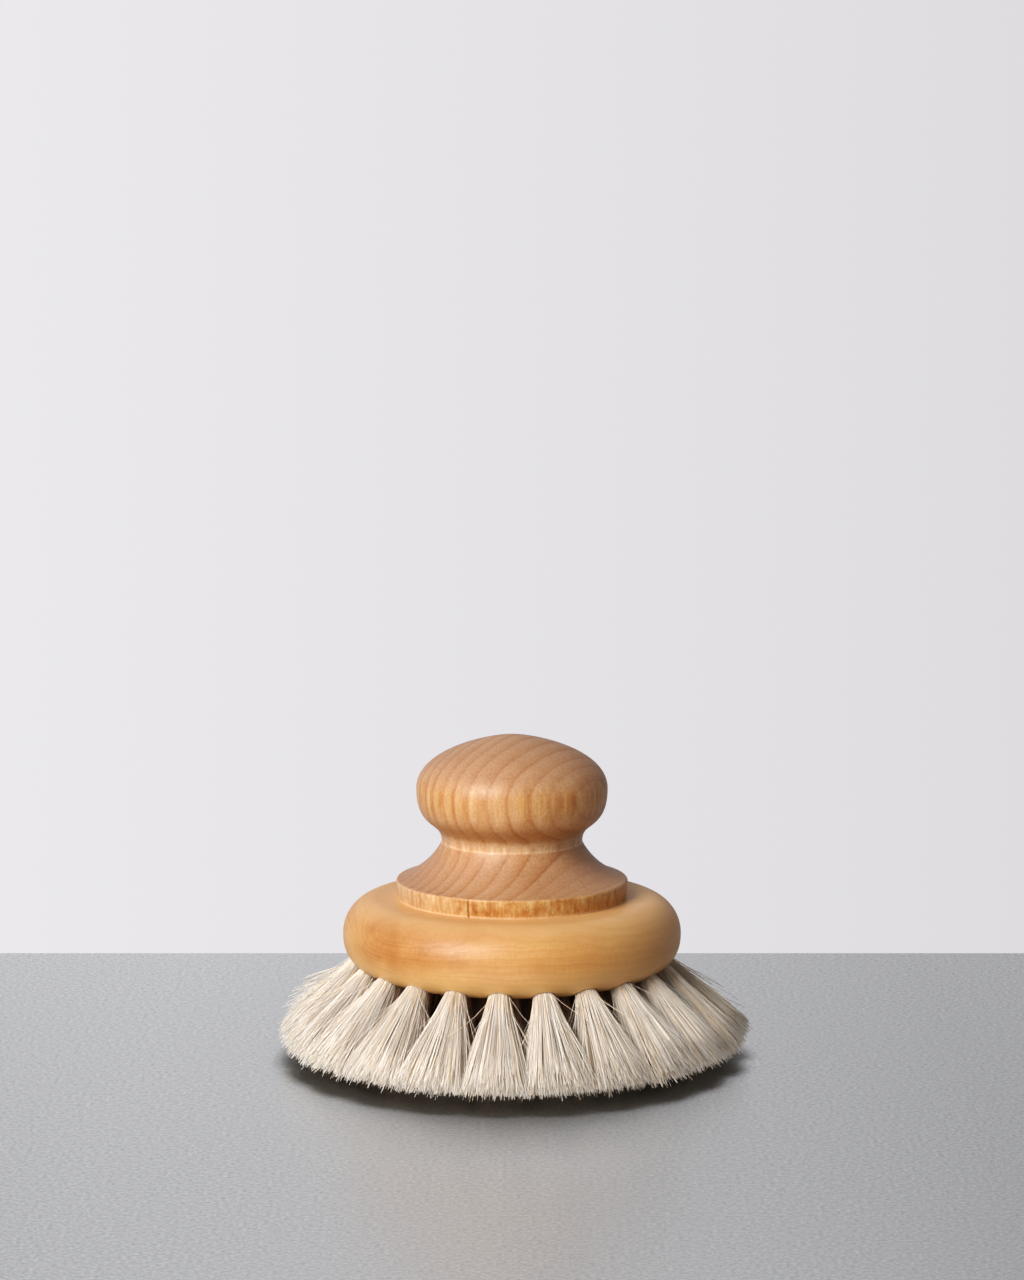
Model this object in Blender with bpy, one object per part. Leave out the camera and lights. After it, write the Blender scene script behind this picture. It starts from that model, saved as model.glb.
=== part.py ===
"""Round body brush: a turned birch knob, glued and dowelled to a drilled birch disc that
holds four rows of horsehair tufts. One wire runs from hole to hole in a pocket under the
knob and holds every tuft by its fold. Lengths are in metres, angles in degrees and +Z is
up. The origin is on the table, under the brush's axis."""

import math

import bmesh
import bpy
from mathutils import Matrix, Vector

# Clearances
fit_gap = 0.0003             # between pieces that touch
glue_gap = 0.0002            # glue film between the knob and the disc
eye_play = 0.0001            # more room for the wire where it turns in a fold
overrun = 0.0005             # how far a cutter passes the surface that it opens
merge_distance = 0.000002    # points nearer than this are one

# Brush disc
disc_radius = 0.045
disc_upper_height = 0.0095   # from the widest line to the top
disc_lower_height = 0.0103   # from the widest line to the underside
rim_upper_depth = 0.0090     # how far the rounding reaches in on the top
rim_lower_depth = 0.0129     # how far it reaches in on the underside
rim_upper_power = 2.0        # 2 is an ellipse, more is squarer
rim_lower_power = 2.4
bristle_height = 0.0232      # from the table to the underside

# Knob, heights counted from its glued face
knob_height = 0.0434
belly_radius = 0.0254
belly_height = 0.0290
neck_radius = 0.0187
neck_height = 0.0148
flange_radius = 0.0308
flange_height = 0.0049
flange_taper = 0.0004        # the flange's foot is this much smaller
lip_radius = 0.0008
crown_pull = 0.0027          # each pull is the reach of a curve's handle
belly_upper_pull = 0.0110
belly_lower_pull = 0.0110
neck_upper_pull = 0.0062
neck_lower_pull = 0.0005
flare_inward_pull = 0.0077
flare_upward_pull = 0.0025

# Joining dowel
dowel_radius = 0.0040
dowel_in_disc = 0.0140
dowel_in_knob = 0.0150
dowel_chamfer = 0.0008
dowel_web = 0.0021           # wood between the dowel's bore and the nearest wire holes

# Drawing wire and the pocket that it runs in
wire_radius = 0.0004
leg_spacing = 0.0015         # between the two legs of a loop, centre to centre
pocket_rim = 0.0020          # the ring of wood outside the pocket, where the knob is glued
pocket_margin = 0.0003       # from the pocket's wall to the nearest wire hole
wire_tail = 0.0030

# Tufts and their bores
outer_row_inset = 0.0050     # from the disc's widest line in to the outer row's mouths
tuft_radius = 0.0028
tuft_bore_depth = 0.0120
bore_point_height = 0.0011   # the drill point's cone at the bore's end
fold_wall = 0.00095          # hair above and beside the wire in a fold
fold_base_thickness = 0.0015
fold_top_thickness = 0.0006
fold_taper_height = 0.0008   # from the full bundle to the flattened fold
root_stand = 0.0003          # the hairs part this far outside the wood
trim_step = 0.0087           # the trimmed rim starts this far outside the outer mouths
trim_reach = 0.0128          # and rounds up from the table over this width
trim_rise = 0.0070           # and this height
row_turn = 3.6               # angle of each row's first tuft

# One line a row, from the rim to the centre: name, tufts, hair locks across and
# along the radius, half the fan's opening, and its share of the space along the row.
tuft_rows = (
    ("outer_row", 22, 4, 3, 15.0, 0.94),
    ("third_row", 15, 3, 2, 11.0, 0.84),
    ("second_row", 10, 2, 2, 11.0, 0.76),
    ("centre_row", 5, 2, 2, 11.0, 0.60),
)
lock_share = 0.70            # a lock's share of its cell at the trimmed end

# Facets
turned_steps = 48
rim_steps = 6
crown_steps = 7
waist_steps = 6
flare_steps = 6
bore_sides = 10
wire_hole_sides = 6
dowel_sides = 16
smooth_below = 28.0

# Colours, linear
knob_colour = (0.56, 0.29, 0.13, 1.0)
disc_colour = (0.72, 0.43, 0.18, 1.0)
dowel_colour = (0.66, 0.47, 0.27, 1.0)
wire_colour = (0.58, 0.58, 0.60, 1.0)
hair_colour = (0.66, 0.58, 0.47, 1.0)

# Heights above the table
disc_equator = bristle_height + disc_lower_height
disc_top = disc_equator + disc_upper_height
knob_foot = disc_top + glue_gap
pocket_floor = disc_top - 2 * (wire_radius + fit_gap)
wire_level = pocket_floor + fit_gap + wire_radius


def clear_scene():
    """Remove whatever the scene holds."""
    for obj in list(bpy.data.objects):
        bpy.data.objects.remove(obj, do_unlink=True)


def finish_material(name, colour, roughness, metallic):
    """A plain Principled material."""
    material = bpy.data.materials.new(name)
    material.use_nodes = True
    shader = material.node_tree.nodes["Principled BSDF"]
    shader.inputs["Base Color"].default_value = colour
    shader.inputs["Roughness"].default_value = roughness
    shader.inputs["Metallic"].default_value = metallic
    material.diffuse_color = colour
    return material


def mesh_of(bm, name):
    """Turn a bmesh into a mesh with its faces pointing out."""
    bmesh.ops.recalc_face_normals(bm, faces=bm.faces)
    mesh = bpy.data.meshes.new(name)
    bm.to_mesh(mesh)
    bm.free()
    return mesh


def place(name, data, material=None, turn=0.0):
    """Add an object that stands on the axis, turned about it."""
    obj = bpy.data.objects.new(name, data)
    bpy.context.scene.collection.objects.link(obj)
    obj.rotation_euler = (0.0, 0.0, math.radians(turn))
    if material is not None and not data.materials:
        data.materials.append(material)
    return obj


def as_cutter(obj):
    """Keep an object out of the render and the build."""
    obj.hide_render = True
    obj.display_type = "WIRE"
    return obj


def cut(obj, cutter):
    """Take a cutter away from an object."""
    boolean = obj.modifiers.new(cutter.name, "BOOLEAN")
    boolean.operation = "DIFFERENCE"
    boolean.solver = "EXACT"
    boolean.object = cutter


def turned_mesh(name, profile, steps):
    """Spin a profile of (radius, height) points about the axis."""
    bm = bmesh.new()
    verts = [bm.verts.new((radius, 0.0, height)) for radius, height in profile]
    edges = [bm.edges.new(pair) for pair in zip(verts, verts[1:])]
    bmesh.ops.spin(
        bm, geom=verts + edges, cent=(0, 0, 0), axis=(0, 0, 1),
        angle=math.tau, steps=steps, use_merge=True,
    )
    bmesh.ops.remove_doubles(bm, verts=bm.verts, dist=merge_distance)
    mesh = mesh_of(bm, name)
    mesh.shade_smooth()
    mesh.set_sharp_from_angle(angle=math.radians(smooth_below))
    return mesh


def curve_points(start, pull_out, pull_in, end, steps):
    """Points of a cubic curve after its start; each pull is a handle's position."""
    points = []
    for step in range(1, steps + 1):
        t = step / steps
        weights = ((1 - t) ** 3, 3 * t * (1 - t) ** 2, 3 * t * t * (1 - t), t ** 3)
        handles = (start, pull_out, pull_in, end)
        points.append(tuple(sum(w * h[axis] for w, h in zip(weights, handles)) for axis in (0, 1)))
    return points


def rim_points(depth, height, power, steps):
    """The rounded rim from its flat face to the widest line, as height from that line."""
    points = []
    for step in range(steps + 1):
        angle = math.radians(90.0) * (1 - step / steps)
        inward = depth * (1 - math.cos(angle) ** (2 / power))
        points.append((disc_radius - inward, height * math.sin(angle) ** (2 / power)))
    return points


def underside_height(radius):
    """Height of the disc's lower surface at a distance from the axis."""
    reach = max(0.0, radius - (disc_radius - rim_lower_depth)) / rim_lower_depth
    drop = max(0.0, 1 - reach ** rim_lower_power) ** (1 / rim_lower_power)
    return disc_equator - disc_lower_height * drop


def underside_slope(radius):
    """Slope of the lower surface there, as an angle from level."""
    step = fit_gap / 2
    rise = underside_height(radius + step) - underside_height(radius - step)
    return math.atan2(rise, 2 * step)


def polygon_radius(clear_radius, sides):
    """Corner radius of a polygon whose flats stand a given distance from its centre."""
    return clear_radius / math.cos(math.pi / sides)


dowel_bore_radius = polygon_radius(dowel_radius + fit_gap, dowel_sides)
tuft_bore_radius = polygon_radius(tuft_radius + fit_gap, bore_sides)
leg_reach = leg_spacing / 2 + wire_radius
wire_hole_radius = polygon_radius(leg_reach + fit_gap / 2, wire_hole_sides)
pocket_radius = flange_radius - flange_taper - pocket_rim
fold_eye = 2 * (wire_radius + fit_gap) + eye_play
fold_height = fold_eye + 2 * fold_wall
fold_top = tuft_bore_depth - fit_gap
fold_base = fold_top - fold_height
eye_centre = fold_base + fold_height / 2
shoulder = fold_base - fold_taper_height
fold_leg = (fold_base_thickness + fold_top_thickness) / 4 + wire_radius + fit_gap + eye_play


class Row:
    """Where one row's bores start and end, and how they slant."""

    def __init__(self, index):
        name, count, across, along, half_fan, fan_share = tuft_rows[index]
        self.name, self.count, self.across, self.along = name, count, across, along
        inner_mouth = dowel_bore_radius + dowel_web + tuft_bore_radius
        outer_mouth = disc_radius - outer_row_inset
        inner_exit = dowel_bore_radius + dowel_web + wire_hole_radius
        outer_exit = self.outermost_exit(outer_mouth)
        inward = index / (len(tuft_rows) - 1)
        self.mouth_radius = outer_mouth + (inner_mouth - outer_mouth) * inward
        self.exit_radius = outer_exit + (inner_exit - outer_exit) * inward
        self.mouth_height = underside_height(self.mouth_radius)
        self.surface_slope = underside_slope(self.mouth_radius)
        climb = pocket_floor - self.mouth_height
        self.tilt = math.atan2(self.mouth_radius - self.exit_radius, climb)
        self.floor_distance = climb / math.cos(self.tilt)
        self.wire_distance = (wire_level - self.mouth_height) / math.cos(self.tilt)
        self.fan_low = self.tilt - math.radians(half_fan)
        self.fan_high = self.tilt + math.radians(half_fan)
        self.fan_half_turn = math.pi / count * fan_share

    @staticmethod
    def outermost_exit(outer_mouth):
        """The outer row's wire holes end just inside the pocket's wall, seen on the slant."""
        climb = pocket_floor - underside_height(outer_mouth)
        exit_radius = pocket_radius - pocket_margin - wire_hole_radius
        for _ in range(4):
            slant = math.hypot(outer_mouth - exit_radius, climb) / climb
            exit_radius = pocket_radius - pocket_margin - wire_hole_radius * slant
        return exit_radius

    def frame(self):
        """Matrix at a mouth: +Z up the bore, +Y along the row, +X outwards and up."""
        sine, cosine = math.sin(self.tilt), math.cos(self.tilt)
        turned = Matrix(((cosine, 0, -sine), (0, 1, 0), (sine, 0, cosine))).to_4x4()
        return Matrix.Translation((self.mouth_radius, 0, self.mouth_height)) @ turned

    def turn(self, number):
        """Angle of one tuft about the brush's axis."""
        return row_turn + 360.0 / self.count * number


def knob_profile():
    """The knob's outline, from the crown down its outer side to the foot's centre."""
    crown = (0.0, knob_height)
    belly = (belly_radius, belly_height)
    neck = (neck_radius, neck_height)
    flare = (flange_radius - lip_radius, flange_height)
    points = [crown]
    points += curve_points(
        crown, (crown_pull, knob_height), (belly_radius, belly_height + belly_upper_pull),
        belly, crown_steps)
    points += curve_points(
        belly, (belly_radius, belly_height - belly_lower_pull),
        (neck_radius, neck_height + neck_upper_pull), neck, waist_steps)
    points += curve_points(
        neck, (neck_radius, neck_height - neck_lower_pull),
        (flare[0] - flare_inward_pull, flange_height + flare_upward_pull), flare, flare_steps)
    for angle in (45.0, 0.0):
        turn = math.radians(angle)
        points.append((flare[0] + lip_radius * math.cos(turn),
                       flange_height - lip_radius * (1 - math.sin(turn))))
    points += [(flange_radius - flange_taper, 0.0), (0.0, 0.0)]
    return [(radius, knob_foot + height) for radius, height in points]


def disc_profile():
    """The disc's outline, from the top's centre round the rim to the underside's centre."""
    upper = rim_points(rim_upper_depth, disc_upper_height, rim_upper_power, rim_steps)
    lower = rim_points(rim_lower_depth, disc_lower_height, rim_lower_power, rim_steps)
    points = [(0.0, disc_top)]
    points += [(radius, disc_equator + height) for radius, height in upper]
    points += [(radius, disc_equator - height) for radius, height in reversed(lower[:-1])]
    points.append((0.0, bristle_height))
    return points


def add_loop(bm, matrix, radius, sides, height):
    """A flat loop of edges across a bore's line."""
    made = bmesh.ops.create_circle(
        bm, segments=sides, radius=radius, cap_ends=False,
        matrix=matrix @ Matrix.Translation((0, 0, height)))
    return list({edge for vert in made["verts"] for edge in vert.link_edges})


def add_stepped_pin(bm, matrix, loops):
    """A closed pin whose loops of (radius, sides, height) run from one end to the other."""
    rings = [add_loop(bm, matrix, *loop) for loop in loops]
    for first, second in zip(rings, rings[1:]):
        bmesh.ops.bridge_loops(bm, edges=first + second)
    for ring in (rings[0], rings[-1]):
        bmesh.ops.contextual_create(bm, geom=ring)


def tuft_bores(rows):
    """Every tuft's bore with its wire hole, as one cutter."""
    bm = bmesh.new()
    for row in rows:
        below = tuft_bore_radius * math.tan(row.tilt) + overrun
        above = row.floor_distance + wire_hole_radius * math.tan(row.tilt) + overrun
        for number in range(row.count):
            turn = Matrix.Rotation(math.radians(row.turn(number)), 4, "Z")
            add_stepped_pin(bm, turn @ row.frame(), (
                (tuft_bore_radius, bore_sides, -below),
                (tuft_bore_radius, bore_sides, tuft_bore_depth),
                (wire_hole_radius, wire_hole_sides, tuft_bore_depth + bore_point_height),
                (wire_hole_radius, wire_hole_sides, above),
            ))
    return as_cutter(place("tuft_bores", mesh_of(bm, "tuft_bores")))


def dowel_bore():
    """The blind bore through both glued faces, as one cutter."""
    low = disc_top - dowel_in_disc - fit_gap
    high = knob_foot + dowel_in_knob + fit_gap
    bm = bmesh.new()
    add_stepped_pin(bm, Matrix.Identity(4), (
        (dowel_bore_radius, dowel_sides, low), (dowel_bore_radius, dowel_sides, high)))
    return as_cutter(place("dowel_bore", mesh_of(bm, "dowel_bore")))


def wire_pocket():
    """The round pocket in the disc's top, as a cutter."""
    bm = bmesh.new()
    add_stepped_pin(bm, Matrix.Identity(4), (
        (pocket_radius, turned_steps, pocket_floor), (pocket_radius, turned_steps, disc_top + overrun)))
    return as_cutter(place("wire_pocket", mesh_of(bm, "wire_pocket")))


def make_dowel(material):
    """The straight dowel with chamfered ends."""
    low = disc_top - dowel_in_disc
    high = knob_foot + dowel_in_knob
    end_radius = dowel_radius - dowel_chamfer
    bm = bmesh.new()
    add_stepped_pin(bm, Matrix.Identity(4), (
        (end_radius, dowel_sides, low),
        (dowel_radius, dowel_sides, low + dowel_chamfer),
        (dowel_radius, dowel_sides, high - dowel_chamfer),
        (end_radius, dowel_sides, high),
    ))
    mesh = mesh_of(bm, "joining_dowel")
    mesh.shade_smooth()
    mesh.set_sharp_from_angle(angle=math.radians(smooth_below))
    place("joining_dowel", mesh, material)


def wire_route(rows):
    """The wire's points: down each hole, through the fold's eye and up again, row by row."""
    points = []
    for row in rows:
        frame = row.frame()
        neck = tuft_bore_depth + bore_point_height + fit_gap
        loop = [
            (-leg_spacing / 2, row.wire_distance), (-leg_spacing / 2, neck), (-fold_leg, eye_centre),
            (fold_leg, eye_centre), (leg_spacing / 2, neck), (leg_spacing / 2, row.wire_distance),
        ]
        for number in range(row.count):
            turn = Matrix.Rotation(math.radians(row.turn(number)), 4, "Z")
            points += [turn @ frame @ Vector((0, along, up)) for along, up in loop]
    first, last = points[0], points[-1]
    points.insert(0, first - tail_step(first))
    points.append(last + tail_step(last))
    return points


def tail_step(point):
    """A tail's reach from a point in the pocket, square to the radius."""
    return Vector((-point.y, point.x, 0)).normalized() * wire_tail


def make_wire(rows, material):
    """The drawing wire, one unbroken length."""
    points = wire_route(rows)
    curve = bpy.data.curves.new("drawing_wire", "CURVE")
    curve.dimensions = "3D"
    curve.bevel_depth = wire_radius
    curve.bevel_resolution = 0
    curve.use_fill_caps = True
    spline = curve.splines.new("POLY")
    spline.points.add(len(points) - 1)
    for target, point in zip(spline.points, points):
        target.co = (*point, 1.0)
    place("drawing_wire", curve, material)


def trimmed_point(row, slope, turn):
    """Where hair at this slope from plumb, turned about the axis, is trimmed: level with the
    table, then on a quarter ellipse that rounds up to the upright edge of the rim."""
    sine, cosine = math.sin(slope), math.cos(slope)
    rim_start = disc_radius - outer_row_inset + trim_step
    out, up = row.mouth_radius - rim_start, row.mouth_height - trim_rise
    length = row.mouth_height / cosine
    if length * sine > -out:
        length = (trim_reach - out) / sine
        if length * cosine > up:
            squares = (sine / trim_reach) ** 2 + (cosine / trim_rise) ** 2
            middle = (up * cosine / trim_rise ** 2 - out * sine / trim_reach ** 2) / squares
            rest = ((out / trim_reach) ** 2 + (up / trim_rise) ** 2 - 1) / squares
            length = middle + math.sqrt(middle ** 2 - rest)
    radius = row.mouth_radius + length * sine
    height = row.mouth_height - length * cosine
    return Vector((radius * math.cos(turn), radius * math.sin(turn), max(0.0, height)))


def root_point(row, across, along):
    """A grid point of the bundle where it leaves the wood; both shares run from -1 to 1."""
    side = tuft_radius * across * math.sqrt(1 - along * along / 2)
    out = tuft_radius * along * math.sqrt(1 - across * across / 2)
    down = root_stand + out * math.tan(row.tilt - row.surface_slope)
    return row.frame() @ Vector((out, side, -down))


def tip_corner(row, column, line):
    """A lock's corner on the trimmed face; both shares run from 0 to 1 over the fan."""
    slope = row.fan_low + (row.fan_high - row.fan_low) * line
    return trimmed_point(row, slope, row.fan_half_turn * (2 * column - 1))


def tuft_mesh(row):
    """One tuft at angle 0: the fold, the bundle in its bore, and the fan of hair locks."""
    bm = bmesh.new()
    grid = [[bm.verts.new(root_point(row, 2 * column / row.across - 1, 2 * line / row.along - 1))
             for line in range(row.along + 1)] for column in range(row.across + 1)]
    for column in range(row.across):
        for line in range(row.along):
            add_lock(bm, row, grid, column, line)
    add_fold(bm, row.frame(), boundary_of(grid))
    mesh = mesh_of(bm, row.name + "_tuft")
    return mesh


def boundary_of(grid):
    """The grid's rim vertices, in order round it."""
    columns, lines = len(grid) - 1, len(grid[0]) - 1
    rim = [grid[column][0] for column in range(columns)]
    rim += [grid[columns][line] for line in range(lines)]
    rim += [grid[column][lines] for column in range(columns, 0, -1)]
    rim += [grid[0][line] for line in range(lines, 0, -1)]
    return rim


def add_lock(bm, row, grid, column, line):
    """One four-sided lock of hair from its cell of the bundle to its trimmed end."""
    steps = ((0, 0), (1, 0), (1, 1), (0, 1))
    root = [grid[column + step][line + rise] for step, rise in steps]
    margin = (1 - lock_share) / 2
    tip = []
    for step, rise in steps:
        share_across = (column + margin + lock_share * step) / row.across
        share_along = (line + margin + lock_share * rise) / row.along
        tip.append(bm.verts.new(tip_corner(row, share_across, share_along)))
    for index in range(4):
        after = (index + 1) % 4
        bm.faces.new((root[index], root[after], tip[after], tip[index]))
    bm.faces.new(tip)


def add_fold(bm, frame, rim):
    """The bundle from its mouth up to the fold, which is flat and has an eye for the wire."""
    to_local = frame.inverted()
    upper = []
    for vert in rim:
        local = to_local @ vert.co
        upper.append(bm.verts.new(frame @ Vector((local.x, local.y, shoulder))))
    for index in range(len(rim)):
        after = (index + 1) % len(rim)
        bm.faces.new((rim[index], rim[after], upper[after], upper[index]))
    base = fold_corners(bm, frame, fold_base_thickness, fold_base)
    top = fold_corners(bm, frame, fold_top_thickness, fold_top)
    loops = [edges_round(bm, upper), edges_round(bm, base)]
    bmesh.ops.bridge_loops(bm, edges=loops[0] + loops[1])
    walls = [bm.faces.new((base[i], base[(i + 1) % 4], top[(i + 1) % 4], top[i])) for i in range(4)]
    bm.faces.new(top)
    wide = [walls[0], walls[2]]
    bmesh.ops.recalc_face_normals(bm, faces=bm.faces)
    bmesh.ops.inset_individual(bm, faces=wide, thickness=fold_wall, use_even_offset=True)
    rims = [edge for face in wide for edge in face.edges]
    bmesh.ops.delete(bm, geom=wide, context="FACES_ONLY")
    bmesh.ops.bridge_loops(bm, edges=rims)


def fold_corners(bm, frame, thickness, height):
    """Four corners of the flattened fold, whose wide sides face along the row."""
    half_width, half = fold_height / 2, thickness / 2
    corners = ((-half_width, half), (half_width, half), (half_width, -half), (-half_width, -half))
    return [bm.verts.new(frame @ Vector((out, side, height))) for out, side in corners]


def edges_round(bm, verts):
    """The closed loop of edges through these vertices, made where it is missing."""
    edges = []
    for index, vert in enumerate(verts):
        pair = (vert, verts[(index + 1) % len(verts)])
        edges.append(bm.edges.get(pair) or bm.edges.new(pair))
    return edges


def make_tufts(row, material):
    """A row's tufts, each an object of its own turned about the axis."""
    mesh = tuft_mesh(row)
    for number in range(row.count):
        place(f"{row.name}_tuft_{number + 1:02d}", mesh, material, row.turn(number))


clear_scene()
rows = [Row(index) for index in range(len(tuft_rows))]

knob = place("knob_handle", turned_mesh("knob_handle", knob_profile(), turned_steps),
             finish_material("oiled_birch_knob", knob_colour, 0.42, 0.0))
disc = place("brush_disc", turned_mesh("brush_disc", disc_profile(), turned_steps),
             finish_material("oiled_birch_disc", disc_colour, 0.38, 0.0))
joint_bore = dowel_bore()
cut(knob, joint_bore)
cut(disc, wire_pocket())
cut(disc, joint_bore)
cut(disc, tuft_bores(rows))
make_dowel(finish_material("raw_birch_dowel", dowel_colour, 0.70, 0.0))
make_wire(rows, finish_material("steel_wire", wire_colour, 0.30, 1.0))
hair = finish_material("pale_horsehair", hair_colour, 0.60, 0.0)
for row in rows:
    make_tufts(row, hair)
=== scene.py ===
import math

import bmesh
import bpy
import numpy as np
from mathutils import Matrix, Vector


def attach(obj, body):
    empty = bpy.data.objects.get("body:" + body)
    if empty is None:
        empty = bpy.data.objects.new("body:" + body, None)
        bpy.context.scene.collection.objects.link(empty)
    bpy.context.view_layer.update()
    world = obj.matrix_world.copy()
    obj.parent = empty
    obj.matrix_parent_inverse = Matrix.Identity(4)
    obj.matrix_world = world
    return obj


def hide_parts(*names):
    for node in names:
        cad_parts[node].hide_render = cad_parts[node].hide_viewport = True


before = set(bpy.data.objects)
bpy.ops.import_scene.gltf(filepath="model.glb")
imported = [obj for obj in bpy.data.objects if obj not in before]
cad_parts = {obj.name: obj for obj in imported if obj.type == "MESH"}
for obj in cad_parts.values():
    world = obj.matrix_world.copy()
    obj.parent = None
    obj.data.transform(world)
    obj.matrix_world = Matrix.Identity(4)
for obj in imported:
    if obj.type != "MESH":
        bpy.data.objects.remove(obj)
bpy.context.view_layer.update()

# A round body brush: a turned birch knob on a drilled birch disc, with four rows of
# horsehair drawn into the disc by one wire. It stands on its trimmed hair, and the side
# towards the camera faces -Y. Lengths are in metres and heights are from the table.


# The brush disc
#
# A disc of birch, turned to a full round rim and oiled to a pale gold. Each tuft has a
# slanted bore from below with a fine wire hole on to the shallow pocket in the top, and
# the middle is bored for the dowel. The board's growth rings lie nearly flat in it.
disc_radius = 0.045
disc_equator = 0.0335            # height of the widest line
disc_upper, disc_lower = 0.0095, 0.0103           # from there to the top and the underside
rim_upper_depth, rim_lower_depth = 0.0090, 0.0129
rim_upper_power, rim_lower_power = 2.0, 2.4
disc_top = disc_equator + disc_upper
disc_underside = disc_equator - disc_lower
pocket_radius, pocket_floor = 0.0284, 0.0416
dowel_bore_radius, dowel_bore_end = 0.0043, 0.0287
tuft_bore_radius, tuft_bore_depth = 0.0031, 0.0120
wire_hole_radius, bore_point = 0.0013, 0.0011
columns_round = 330              # edges round the disc, shared out among each row's bores
sector_side = 10                 # edges up each side of one bore's sector
crown_steps, lower_steps = 40, 16                 # edges over the upper and the lower rim
middle_below = 0.0045            # radius of the plain wood in the middle of the underside

# One line a row: tufts, radius of the bores' mouths, radius of the wire holes' ends, and
# the outer edges of the rings of wood drilled by that row, below and in the pocket.
drilled_rows = {
    "centre_row": (5, 0.00974, 0.00799, 0.0147, 0.0110),
    "second_row": (10, 0.01983, 0.01404, 0.0248, 0.0171),
    "third_row": (15, 0.02991, 0.02010, 0.0349, 0.0231),
    "outer_row": (22, 0.04000, 0.02616, 0.0438, pocket_radius),
}
first_turn = math.radians(3.6)   # angle of each row's first tuft


def underside(radius):
    """Height of the disc's lower face: flat, then a superellipse that climbs to the rim."""
    reach = np.clip((radius - disc_radius + rim_lower_depth) / rim_lower_depth, 0, 1)
    return disc_equator - disc_lower * (1 - reach ** rim_lower_power) ** (1 / rim_lower_power)


def bore_frame(mouth, exit_radius):
    """A bore's mouth and its axes at angle 0: outwards across it, along the row, and up it."""
    foot = np.array((mouth, 0, float(underside(mouth))))
    tilt = math.atan2(mouth - exit_radius, pocket_floor - foot[2])
    out = np.array((math.cos(tilt), 0, math.sin(tilt)))
    up = np.array((-math.sin(tilt), 0, math.cos(tilt)))
    return foot, out, np.array((0, 1, 0)), up


def turned_about(points, angle):
    """Points turned about the brush's axis; an array of angles gives a stack of copies."""
    angle = np.asarray(angle)[..., None, None]
    x, y, z = points[..., 0], points[..., 1], points[..., 2]
    return np.stack((x * np.cos(angle) - y * np.sin(angle),
                     x * np.sin(angle) + y * np.cos(angle), z + 0 * angle), -1)


def grid_quads(points, closed=False):
    """Corner numbers of a grid's quads, row by row, closed across the columns if asked."""
    rows, columns = points.shape[:2]
    index = np.arange(rows * columns).reshape(rows, columns)
    if closed:
        index = np.concatenate((index, index[:, :1]), 1)
    return np.stack((index[:-1, :-1], index[:-1, 1:], index[1:, 1:], index[1:, :-1]), -1).reshape(-1, 4)


def joined_mesh(name, grids, crease=32):
    """One closed mesh of several grids: shared edges merged, faces turned outwards, and
    edges sharper than the crease angle kept crisp."""
    points = np.concatenate([grid.reshape(-1, 3) for grid, _ in grids])
    starts = np.cumsum([0] + [grid.shape[0] * grid.shape[1] for grid, _ in grids[:-1]])
    quads = np.concatenate([grid_quads(grid, closed) + start
                            for (grid, closed), start in zip(grids, starts)])
    mesh = bpy.data.meshes.new(name)
    mesh.from_pydata(points, [], quads)
    work = bmesh.new()
    work.from_mesh(mesh)
    bmesh.ops.remove_doubles(work, verts=work.verts, dist=0.000002)
    bmesh.ops.recalc_face_normals(work, faces=work.faces)
    work.to_mesh(mesh)
    work.free()
    mesh.shade_smooth()
    mesh.set_sharp_from_angle(angle=math.radians(crease))
    return mesh


def turned_grid(profile, columns):
    """The surface swept by a profile of (radius, height) points about the brush's axis."""
    angle = np.linspace(0, 2 * np.pi, columns, endpoint=False) + first_turn
    radius, height = np.array(profile).T[..., None]
    return np.stack((radius * np.cos(angle), radius * np.sin(angle), height + 0 * angle), -1)


def sector_edge(count, inner, outer):
    """Angles and radii of the points round one sector of a ring shared among some bores:
    along its inner side, outwards, back along its outer side and inwards."""
    half, bottom = np.pi / count, columns_round // count
    across = np.linspace(-half, half, bottom, endpoint=False)
    rise = np.linspace(inner, outer, sector_side, endpoint=False)
    angle = np.concatenate((across, np.full(sector_side, half), -across, np.full(sector_side, -half)))
    radius = np.concatenate((np.full(bottom, inner), rise, np.full(bottom, outer), inner + outer - rise))
    return angle, radius


def drilled_ring(count, inner, outer, height, hole, rings):
    """A ring of wood with a hole in each of its sectors. Each sector's grid runs from the
    hole's edge out to the sector's four sides, mixed evenly in angle and radius."""
    edge_angle, edge_radius = sector_edge(count, inner, outer)
    hole_angle, hole_radius = np.arctan2(hole[:, 1], hole[:, 0]), np.hypot(hole[:, 0], hole[:, 1])
    share = np.linspace(0, 1, rings)[:, None]
    angle = hole_angle + (edge_angle - hole_angle) * share
    radius = hole_radius + (edge_radius - hole_radius) * share
    flat = np.stack((radius * np.cos(angle), radius * np.sin(angle), height(radius) + 0 * radius), -1)
    turns = first_turn + 2 * np.pi / count * np.arange(count)
    return [(sector, True) for sector in turned_about(flat, turns)]


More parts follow.
